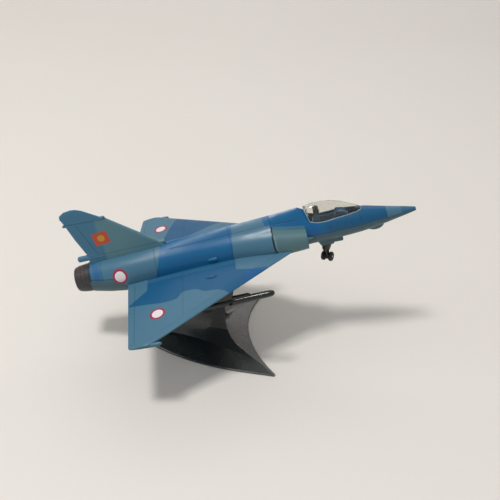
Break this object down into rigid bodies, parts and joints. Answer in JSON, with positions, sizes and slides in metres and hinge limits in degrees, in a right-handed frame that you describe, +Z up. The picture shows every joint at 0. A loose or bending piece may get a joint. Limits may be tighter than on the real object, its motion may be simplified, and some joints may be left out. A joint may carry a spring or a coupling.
{
  "type": "toy airplane",
  "caption": "Toy delta-wing jet fighter in blue camouflage on a black swept display stand; it lifts off its peg, its wheels roll and its nose leg steers.",
  "frame": {"origin": "middle of the model's length and span, on the surface it stands on", "axes": "+X towards the nose, +Y to port, +Z up; the aircraft stands nose up by 14.65 degrees"},
  "size_m": [0.1256, 0.0812, 0.0585],
  "materials": {
    "upper_paint": "two-tone blue camouflage paint, satin gloss",
    "lower_plastic": "grey-teal moulded plastic, satin",
    "wing_paint": "two-tone blue camouflage paint, satin gloss",
    "fin_paint": "grey-teal plastic with a slate-blue painted rear, satin",
    "intake_plastic": "grey-teal plastic, satin",
    "fairing_plastic": "grey-teal plastic, satin",
    "canopy_clear": "clear polished plastic",
    "tub_plastic": "black, matt",
    "panel_plastic": "black, matt",
    "seat_plastic": "near black, matt",
    "nozzle_plastic": "warm dark grey, satin",
    "core_plastic": "dark brown-black, matt",
    "gear_plastic": "black, satin",
    "tyre_rubber": "black, matt",
    "axle_steel": "bright",
    "screw_steel": "plain",
    "pylon_plastic": "black, gloss",
    "missile_plastic": "black, gloss",
    "stand_plastic": "black, high gloss"
  },
  "bodies": {
    "stand": {"stand_base": "stand_plastic"},
    "airframe": {"canopy": "canopy_clear", "cockpit_tub": "tub_plastic", "delta_wing": "wing_paint", "exhaust_core": "core_plastic", "exhaust_nozzle": "nozzle_plastic", "front_screw": "screw_steel", "instrument_panel": "panel_plastic", "left_intake": "intake_plastic", "left_main_axle": "axle_steel", "left_main_gear_leg": "gear_plastic", "left_missile": "missile_plastic", "left_pylon": "pylon_plastic", "lower_fuselage": "lower_plastic", "nose_gear_fairing": "fairing_plastic", "pilot_seat": "seat_plastic", "rear_screw": "screw_steel", "right_intake": "intake_plastic", "right_main_axle": "axle_steel", "right_main_gear_leg": "gear_plastic", "right_missile": "missile_plastic", "right_pylon": "pylon_plastic", "tail_fin": "fin_paint", "upper_fuselage": "upper_paint"},
    "nose_leg": {"nose_gear_leg": "gear_plastic", "nose_axle": "axle_steel"},
    "left_nose_wheel": {"left_nose_wheel": "tyre_rubber"},
    "right_nose_wheel": {"right_nose_wheel": "tyre_rubber"},
    "left_main_wheel": {"left_main_wheel": "tyre_rubber"},
    "right_main_wheel": {"right_main_wheel": "tyre_rubber"}
  },
  "joints": [
    {"name": "airframe_lift", "type": "slide", "parent": "stand", "child": "airframe", "axis": [-0.2529, 0, 0.9675], "range_m": [0, 0.02]},
    {"name": "nose_gear_steer", "type": "hinge", "parent": "airframe", "child": "nose_leg", "pos_m": [0.02992, 0, 0.04784], "axis": [-0.2529, 0, 0.9675], "range_deg": [-115, 5]},
    {"name": "left_nose_wheel_spin", "type": "hinge", "parent": "nose_leg", "child": "left_nose_wheel", "pos_m": [0.03274, -0.00051, 0.03566], "axis": [-0.7925, 0.5736, -0.2072], "continuous": true},
    {"name": "right_nose_wheel_spin", "type": "hinge", "parent": "nose_leg", "child": "right_nose_wheel", "pos_m": [0.03274, -0.00051, 0.03566], "axis": [-0.7925, 0.5736, -0.2072], "continuous": true},
    {"name": "left_main_wheel_spin", "type": "hinge", "parent": "airframe", "child": "left_main_wheel", "pos_m": [-0.01179, 0.015, 0.02392], "axis": [0, 1, 0], "continuous": true},
    {"name": "right_main_wheel_spin", "type": "hinge", "parent": "airframe", "child": "right_main_wheel", "pos_m": [-0.01179, -0.015, 0.02392], "axis": [0, 1, 0], "continuous": true}
  ]
}
